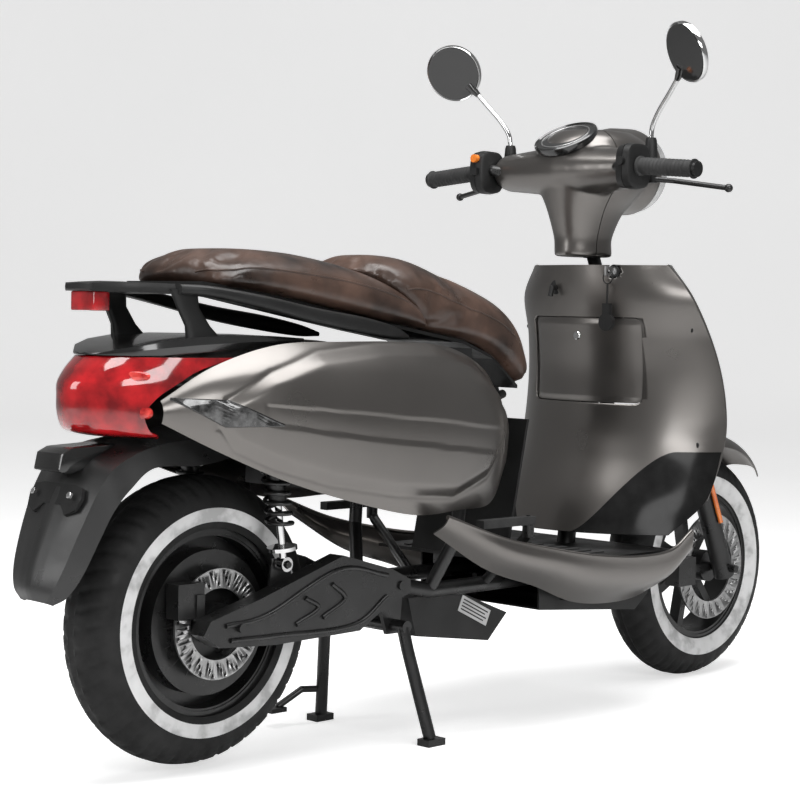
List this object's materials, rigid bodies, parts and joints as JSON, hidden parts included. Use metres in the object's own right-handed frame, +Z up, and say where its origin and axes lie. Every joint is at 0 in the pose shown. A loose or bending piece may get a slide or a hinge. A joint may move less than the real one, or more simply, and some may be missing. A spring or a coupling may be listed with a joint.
{
  "type": "moped scooter",
  "caption": "Step-through electric moped scooter on its centre stand, with whitewall tyres, a hub motor, a two-part leather seat, a grab rail and round mirrors.",
  "frame": {"origin": "middle of the overall box, on the floor that the centre stand and front tyre rest on", "axes": "+X forward, +Y to the rider's left, +Z up"},
  "size_m": [1.907, 0.704, 1.2987],
  "materials": {
    "paint": "satin metallic gunmetal",
    "black_plastic": "grained",
    "black_gloss": "gloss",
    "frame_black": "satin black",
    "leather": "aged brown",
    "rubber": "matt",
    "tyre": "matt with white band",
    "steel": "brushed",
    "chrome": "polished",
    "aluminium": "cast",
    "red_lens": "clear red",
    "smoked_lens": "smoked clear",
    "clear_lens": "clear",
    "orange_lens": "reflector",
    "mirror_glass": "mirror"
  },
  "bodies": {
    "root": {"frame": "frame_black", "battery_case": "black_gloss", "battery_pack": "black_plastic", "motor_controller": "aluminium", "storage_bucket": "black_plastic", "front_apron": "paint", "inner_legshield": "paint", "ignition_lock": "chrome", "bag_hook": "black_gloss", "footboard": "black_plastic", "side_skirts": "paint", "belly_pan": "black_plastic", "side_covers": "paint", "turn_signals": "smoked_lens", "tail_light": "red_lens", "tail_cover": "black_gloss", "grab_rail": "black_plastic", "rear_fender": "black_gloss"},
    "steering": {"steering_stem": "frame_black", "handlebar": "frame_black", "handlebar_rear_cover": "paint", "handlebar_front_cover": "paint", "headlight": "clear_lens", "instrument_display": "black_gloss", "left_grip": "rubber", "switch_housings": "black_gloss"},
    "throttle": {"throttle_grip": "rubber"},
    "left_lever": {"brake_lever_left": "frame_black"},
    "right_lever": {"brake_lever_right": "frame_black"},
    "left_stem": {"mirror_stem_left": "chrome"},
    "right_stem": {"mirror_stem_right": "chrome"},
    "left_mirror": {"mirror_head_left": "mirror_glass"},
    "right_mirror": {"mirror_head_right": "mirror_glass"},
    "horn": {"horn_button": "black_plastic"},
    "turn": {"turn_switch": "black_plastic"},
    "start": {"start_button": "black_plastic"},
    "fork": {"fork_sliders": "frame_black", "fork_reflectors": "orange_lens", "front_fender": "paint", "front_caliper": "frame_black"},
    "front_wheel": {"front_tyre": "tyre", "front_rim": "frame_black", "front_disc": "steel"},
    "rear_arm": {"swingarm": "frame_black", "rear_caliper": "frame_black"},
    "rear_wheel": {"rear_tyre": "tyre", "rear_hub_motor": "frame_black", "rear_disc": "steel"},
    "shock_top": {"shock_bodies": "frame_black", "shock_springs": "frame_black"},
    "shock_low": {"shock_rods": "steel"},
    "stand": {"centre_stand": "frame_black"},
    "seat": {"seat_base": "black_plastic", "seat_pillion_cushion": "leather", "seat_rider_cushion": "leather"},
    "glovebox": {"glovebox_door": "paint"},
    "key": {"ignition_key": "steel"},
    "fob": {"key_fob": "black_gloss"},
    "left_peg": {"footpeg_left": "aluminium"},
    "right_peg": {"footpeg_right": "aluminium"}
  },
  "joints": [
    {"name": "steering_turn", "type": "hinge", "parent": "root", "child": "steering", "pos_m": [0.48119, 0, 0.67363], "axis": [-0.4226, 0, 0.9063], "range_deg": [-35, 35]},
    {"name": "fork_travel", "type": "slide", "parent": "steering", "child": "fork", "axis": [-0.4226, 0, 0.9063], "range_m": [0, 0.06], "stiffness_N_per_m": 8000, "springref_m": -0.03},
    {"name": "front_wheel_spin", "type": "hinge", "parent": "fork", "child": "front_wheel", "pos_m": [0.7215, 0, 0.234], "axis": [0, 1, 0], "continuous": true},
    {"name": "swingarm_travel", "type": "hinge", "parent": "root", "child": "rear_arm", "pos_m": [-0.2635, 0, 0.283], "axis": [0, 1, 0], "range_deg": [0, 8], "stiffness_Nm_per_rad": 2600, "springref_deg": -6.88},
    {"name": "rear_wheel_spin", "type": "hinge", "parent": "rear_arm", "child": "rear_wheel", "pos_m": [-0.6285, 0, 0.246], "axis": [0, 1, 0], "continuous": true},
    {"name": "shock_tilt", "type": "hinge", "parent": "root", "child": "shock_top", "pos_m": [-0.5585, 0, 0.59], "axis": [0, 1, 0], "range_deg": [-4, 4]},
    {"name": "shock_stroke", "type": "slide", "parent": "shock_top", "child": "shock_low", "axis": [0.1491, 0, -0.9888], "range_m": [-0.05, 0], "deforming": ["shock_springs"]},
    {"name": "stand_fold", "type": "hinge", "parent": "root", "child": "stand", "pos_m": [-0.2285, 0, 0.205], "axis": [0, 1, 0], "range_deg": [0, 66]},
    {"name": "seat_open", "type": "hinge", "parent": "root", "child": "seat", "pos_m": [0.0715, 0, 0.604], "axis": [0, 1, 0], "range_deg": [0, 55]},
    {"name": "glovebox_open", "type": "hinge", "parent": "root", "child": "glovebox", "pos_m": [0.3495, 0, 0.5825], "axis": [0, -1, 0], "range_deg": [0, 60], "deforming": ["key_fob"]},
    {"name": "key_turn", "type": "hinge", "parent": "root", "child": "key", "pos_m": [0.3495, -0.085, 0.838], "axis": [1, 0, 0], "range_deg": [0, 90]},
    {"name": "fob_swing", "type": "hinge", "parent": "root", "child": "fob", "pos_m": [0.3315, -0.085, 0.837], "axis": [0, 1, 0], "range_deg": [0, 50]},
    {"name": "left_peg_fold", "type": "hinge", "parent": "root", "child": "left_peg", "pos_m": [-0.0165, 0.197, 0.387], "axis": [0, 0, -1], "range_deg": [0, 80]},
    {"name": "right_peg_fold", "type": "hinge", "parent": "root", "child": "right_peg", "pos_m": [-0.0165, -0.197, 0.387], "axis": [0, 0, 1], "range_deg": [0, 80]},
    {"name": "throttle_twist", "type": "hinge", "parent": "steering", "child": "throttle", "pos_m": [0.2715, -0.203, 1.032], "axis": [0, -0.9968, -0.0797], "range_deg": [0, 70], "stiffness_Nm_per_rad": 0.3},
    {"name": "left_brake", "type": "hinge", "parent": "steering", "child": "left_lever", "pos_m": [0.3195, 0.196, 1.01], "axis": [0, 0, 1], "range_deg": [0, 16], "stiffness_Nm_per_rad": 3, "springref_deg": -5.73},
    {"name": "right_brake", "type": "hinge", "parent": "steering", "child": "right_lever", "pos_m": [0.3195, -0.196, 1.01], "axis": [0, 0, -1], "range_deg": [0, 16], "stiffness_Nm_per_rad": 3, "springref_deg": -5.73},
    {"name": "left_mirror_swivel", "type": "hinge", "parent": "steering", "child": "left_stem", "pos_m": [0.3375, 0.177, 1.09], "axis": [0, 0, 1], "range_deg": [-30, 30]},
    {"name": "left_mirror_tilt", "type": "hinge", "parent": "left_stem", "child": "left_mirror", "pos_m": [0.3175, 0.249, 1.193], "axis": [0, 1, 0], "range_deg": [-12, 12]},
    {"name": "right_mirror_swivel", "type": "hinge", "parent": "steering", "child": "right_stem", "pos_m": [0.3375, -0.177, 1.09], "axis": [0, 0, 1], "range_deg": [-30, 30]},
    {"name": "right_mirror_tilt", "type": "hinge", "parent": "right_stem", "child": "right_mirror", "pos_m": [0.3175, -0.249, 1.193], "axis": [0, 1, 0], "range_deg": [-12, 12]},
    {"name": "horn_press", "type": "slide", "parent": "steering", "child": "horn", "axis": [1, 0, 0], "range_m": [0, 0.003], "stiffness_N_per_m": 400},
    {"name": "turn_slide", "type": "slide", "parent": "steering", "child": "turn", "axis": [0, 1, 0], "range_m": [-0.004, 0.004], "stiffness_N_per_m": 300},
    {"name": "start_press", "type": "slide", "parent": "steering", "child": "start", "axis": [1, 0, 0], "range_m": [0, 0.003], "stiffness_N_per_m": 400}
  ],
  "couplings": [
    {"joint": "shock_tilt", "follows": "swingarm_travel", "ratio": -0.49372},
    {"joint": "shock_stroke", "follows": "swingarm_travel", "m_per_rad": -0.23489}
  ]
}
